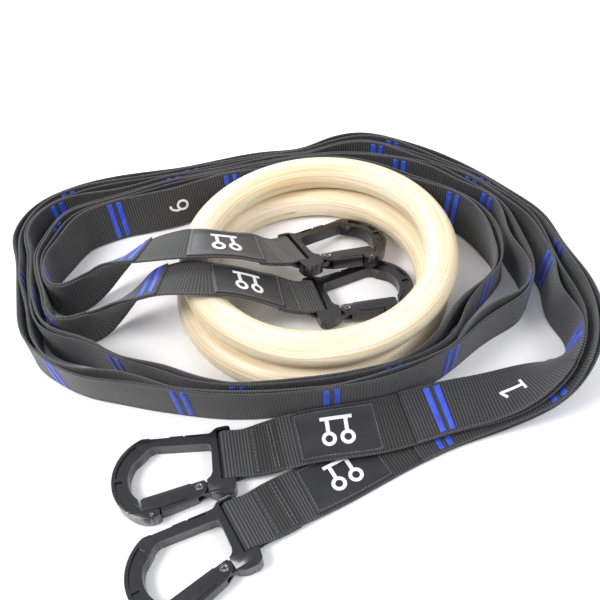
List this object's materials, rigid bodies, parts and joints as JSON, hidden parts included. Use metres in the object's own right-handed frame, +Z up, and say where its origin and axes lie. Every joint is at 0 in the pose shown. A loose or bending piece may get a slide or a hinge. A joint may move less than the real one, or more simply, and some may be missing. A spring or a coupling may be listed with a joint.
{
  "type": "gymnastics rings",
  "caption": "Pair of wooden gymnastics rings stored flat, with two pocketed webbing straps coiled round them and a sprung-gate carabiner in each strap end.",
  "frame": {"origin": "on the floor under the middle of the box of the rings and carabiners", "axes": "+Z up, +Y away from the side where the two front carabiners lie, +X to the right seen from that side"},
  "size_m": [0.4839, 0.4433, 0.0687],
  "materials": {
    "birch": "satin lacquered laminated birch",
    "webbing": "ribbed polyester webbing, charcoal",
    "label_fabric": "smooth woven label, black",
    "tack_thread": "royal blue bar-tack thread",
    "print_white": "white woven numerals and mark",
    "anodised_dark": "satin dark grey",
    "dark_steel": "blackened steel rivets and pins",
    "spring_steel": "bright spring wire"
  },
  "bodies": {
    "straps": {"strap_a_base_webbing": "webbing", "strap_a_loop_webbing": "webbing", "strap_a_rear_label": "label_fabric", "strap_a_front_label": "label_fabric", "strap_b_base_webbing": "webbing", "strap_b_loop_webbing": "webbing", "strap_b_rear_label": "label_fabric", "strap_b_front_label": "label_fabric"},
    "lower_ring": {"lower_ring": "birch"},
    "upper_ring": {"upper_ring": "birch"},
    "carabiner_front_a": {"carabiner_front_a_frame": "anodised_dark", "carabiner_front_a_gate_rivet": "dark_steel", "carabiner_front_a_nose_pin": "dark_steel"},
    "gate_front_a": {"carabiner_front_a_gate": "anodised_dark", "carabiner_front_a_gate_spring": "spring_steel"},
    "carabiner_front_b": {"carabiner_front_b_frame": "anodised_dark", "carabiner_front_b_gate_rivet": "dark_steel", "carabiner_front_b_nose_pin": "dark_steel"},
    "gate_front_b": {"carabiner_front_b_gate": "anodised_dark", "carabiner_front_b_gate_spring": "spring_steel"},
    "carabiner_rear_a": {"carabiner_rear_a_frame": "anodised_dark", "carabiner_rear_a_gate_rivet": "dark_steel", "carabiner_rear_a_nose_pin": "dark_steel"},
    "gate_rear_a": {"carabiner_rear_a_gate": "anodised_dark", "carabiner_rear_a_gate_spring": "spring_steel"},
    "carabiner_rear_b": {"carabiner_rear_b_frame": "anodised_dark", "carabiner_rear_b_gate_rivet": "dark_steel", "carabiner_rear_b_nose_pin": "dark_steel"},
    "gate_rear_b": {"carabiner_rear_b_gate": "anodised_dark", "carabiner_rear_b_gate_spring": "spring_steel"}
  },
  "joints": [
    {"name": "lower_ring_spin", "type": "hinge", "parent": "straps", "child": "lower_ring", "pos_m": [0.01815, 0.0772, 0.0143], "axis": [0, 0, 1], "continuous": true},
    {"name": "upper_ring_spin", "type": "hinge", "parent": "straps", "child": "upper_ring", "pos_m": [0.02495, 0.0835, 0.0426], "axis": [0, 0, 1], "continuous": true},
    {"name": "front_a_swivel", "type": "hinge", "parent": "straps", "child": "carabiner_front_a", "pos_m": [-0.05905, -0.0824, 0.006], "axis": [-0.0958, 0.9954, 0], "range_deg": [0, 58]},
    {"name": "front_a_gate", "type": "hinge", "parent": "carabiner_front_a", "child": "gate_front_a", "pos_m": [-0.07846, -0.10727, 0.006], "axis": [0, 0, -1], "range_deg": [0, 30], "stiffness_Nm_per_rad": 0.02, "springref_deg": -17.19},
    {"name": "front_b_swivel", "type": "hinge", "parent": "straps", "child": "carabiner_front_b", "pos_m": [-0.05125, -0.1382, 0.006], "axis": [-0.4226, 0.9063, 0], "range_deg": [0, 58]},
    {"name": "front_b_gate", "type": "hinge", "parent": "carabiner_front_b", "child": "gate_front_b", "pos_m": [-0.06124, -0.16813, 0.006], "axis": [0, 0, -1], "range_deg": [0, 30], "stiffness_Nm_per_rad": 0.02, "springref_deg": -17.19},
    {"name": "rear_a_swivel", "type": "hinge", "parent": "straps", "child": "carabiner_rear_a", "pos_m": [0.00445, 0.1023, 0.0258], "axis": [0.3924, -0.912, 0.1198], "range_deg": [0, 70]},
    {"name": "rear_a_gate", "type": "hinge", "parent": "carabiner_rear_a", "child": "gate_rear_a", "pos_m": [0.03322, 0.08941, 0.02459], "axis": [0.122, 0.1807, 0.9759], "range_deg": [0, 30], "stiffness_Nm_per_rad": 0.02, "springref_deg": -17.19},
    {"name": "rear_b_swivel", "type": "hinge", "parent": "straps", "child": "carabiner_rear_b", "pos_m": [0.01895, 0.0601, 0.0088], "axis": [0.2092, -0.976, 0.061], "range_deg": [0, 60]},
    {"name": "rear_b_gate", "type": "hinge", "parent": "carabiner_rear_b", "child": "gate_rear_b", "pos_m": [0.04496, 0.04226, 0.00959], "axis": [0.0146, 0.0655, 0.9977], "range_deg": [0, 30], "stiffness_Nm_per_rad": 0.02, "springref_deg": -17.19}
  ],
  "couplings": [
    {"joint": "rear_b_swivel", "follows": "rear_a_swivel", "ratio": 0.8}
  ]
}
